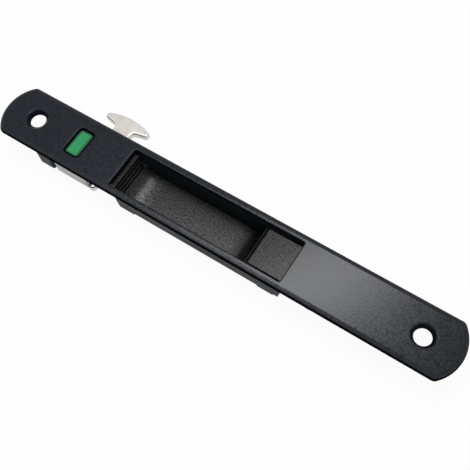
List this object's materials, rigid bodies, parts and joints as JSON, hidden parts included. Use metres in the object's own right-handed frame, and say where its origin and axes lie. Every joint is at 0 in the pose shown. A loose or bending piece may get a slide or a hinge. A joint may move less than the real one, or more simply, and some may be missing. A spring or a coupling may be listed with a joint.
{
  "type": "sliding door lock",
  "caption": "Flush lock for a sliding door: a long round-ended face plate with a dished finger slider that drives an anchor-headed hook sideways and changes an indicator flag.",
  "frame": {"origin": "midway between the two fixing holes, in the plane of the plate's end seats", "axes": "+X along the plate, away from the hook's end and the way the slider travels; +Y the way the hook points; +Z out of the visible face"},
  "size_m": [0.2, 0.0331, 0.0141],
  "materials": {
    "plate_coat": "satin black powder coat",
    "channel_moulding": "matt black moulding",
    "slider_moulding": "satin black moulding",
    "plated_steel": "zinc plated",
    "bright_metal": "bright nickel",
    "spring_steel": "bright rolled",
    "screw_steel": "zinc plated",
    "green_field": "smooth",
    "red_field": "smooth"
  },
  "bodies": {
    "lock_body": {"face_plate": "plate_coat", "guide_channel": "channel_moulding", "channel_screws": "screw_steel", "lock_case": "plated_steel", "case_rivets": "screw_steel", "end_block": "channel_moulding", "block_screws": "screw_steel", "detent_spring": "spring_steel"},
    "slide": {"finger_slider": "slider_moulding", "carriage": "plated_steel", "slider_screws": "screw_steel", "hook_bolt": "bright_metal", "hook_screws": "screw_steel", "flag_carrier": "channel_moulding", "flag_green": "green_field", "flag_red": "red_field", "carrier_rivets": "screw_steel"}
  },
  "joints": [
    {"name": "lock_slide", "type": "slide", "parent": "lock_body", "child": "slide", "axis": [1, 0, 0], "range_m": [0, 0.008], "deforming": ["detent_spring"]}
  ]
}
